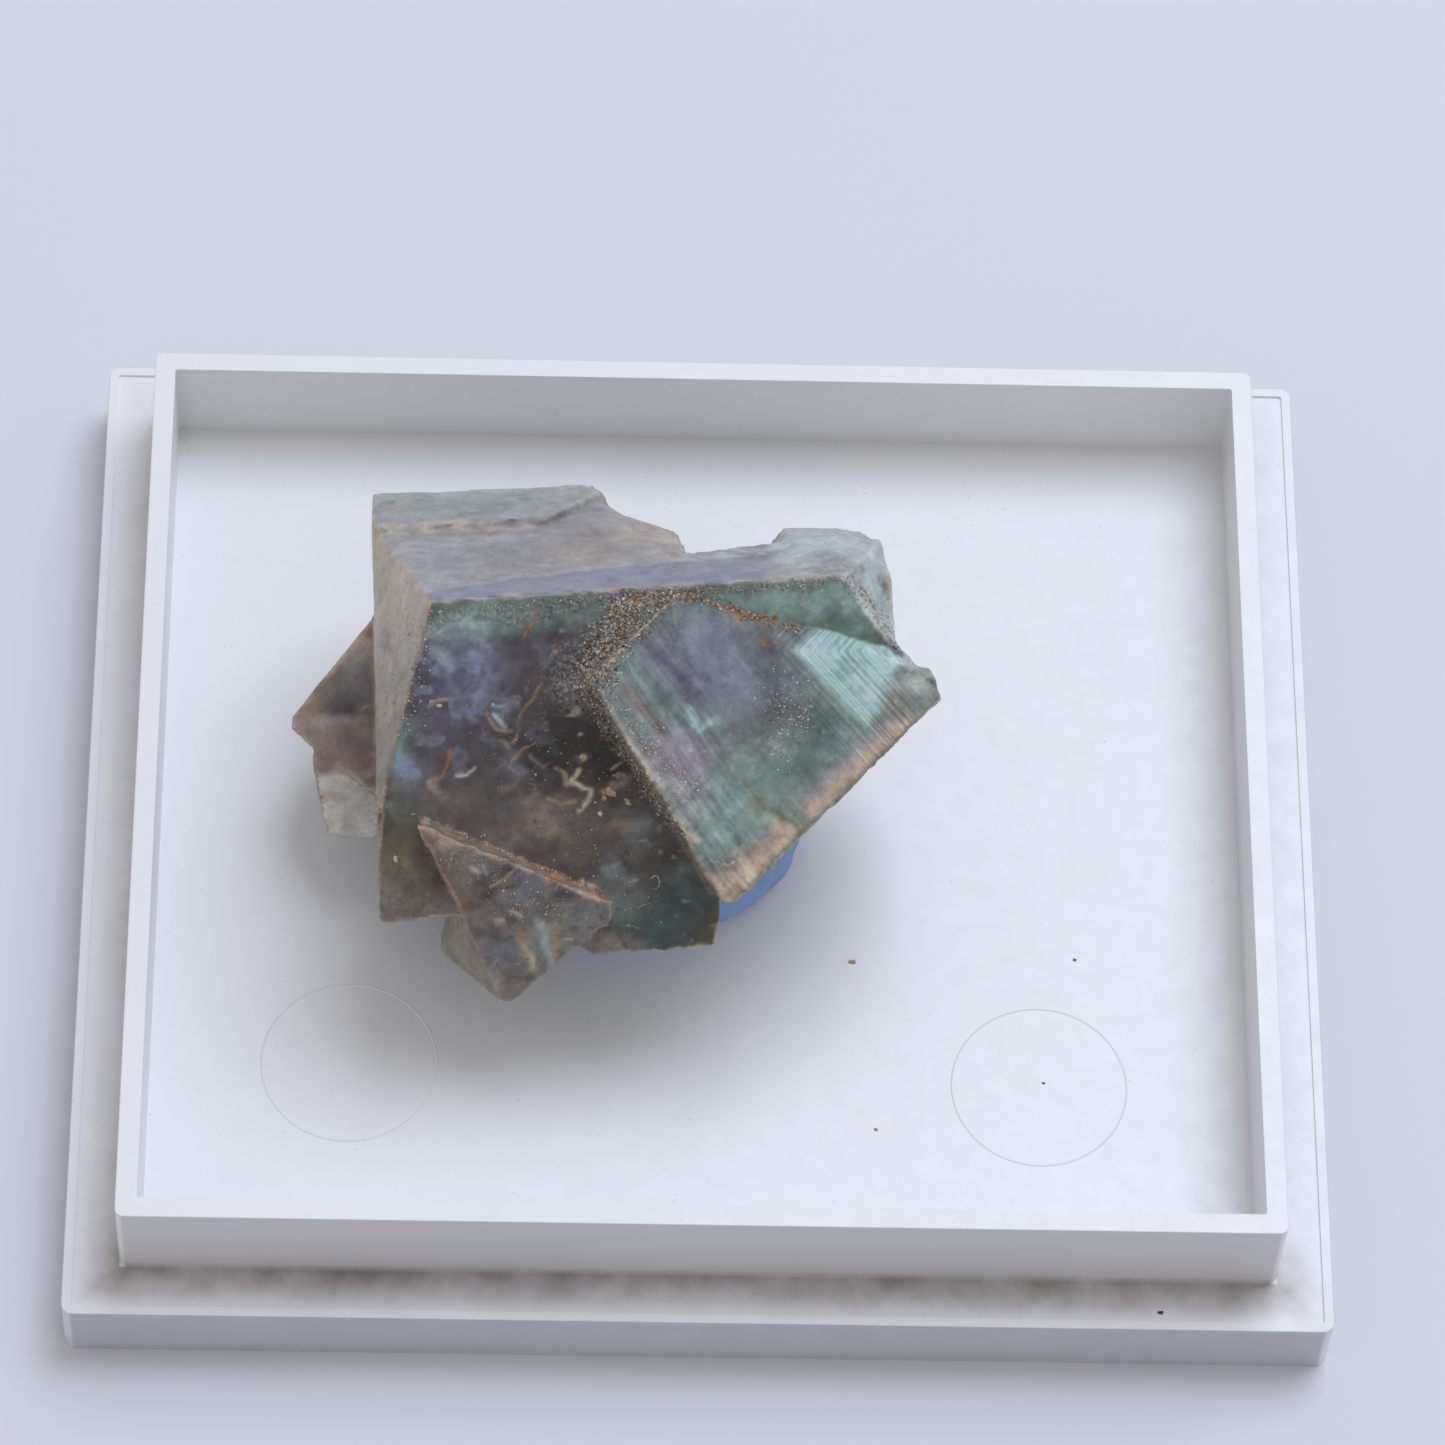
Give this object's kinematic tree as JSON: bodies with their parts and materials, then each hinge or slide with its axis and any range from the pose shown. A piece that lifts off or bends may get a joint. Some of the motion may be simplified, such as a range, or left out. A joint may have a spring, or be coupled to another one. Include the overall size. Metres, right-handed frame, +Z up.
{
  "type": "fluorite and quartz mineral specimen",
  "caption": "Cluster of intergrown green and purple fluorite cubes with a small quartz crust, held on putty in the white base of a specimen box.",
  "frame": {"origin": "centre of the underside of the box base", "axes": "+Z up; +X along the base's long side, to the right as seen from the front; +Y to the back"},
  "size_m": [0.057, 0.0502, 0.0231],
  "materials": {
    "white_plastic": "satin white moulded plastic, a little dusty",
    "blue_putty": "dull light blue mounting putty",
    "fluorite": "translucent green and purple fluorite with glassy faces, worn edges and rusty stains",
    "quartz": "sparkling clear quartz grains stained rusty brown"
  },
  "bodies": {
    "root": {"box_base": "white_plastic", "putty": "blue_putty", "fluorite": "fluorite", "quartz_crust": "quartz"}
  },
  "joints": []
}
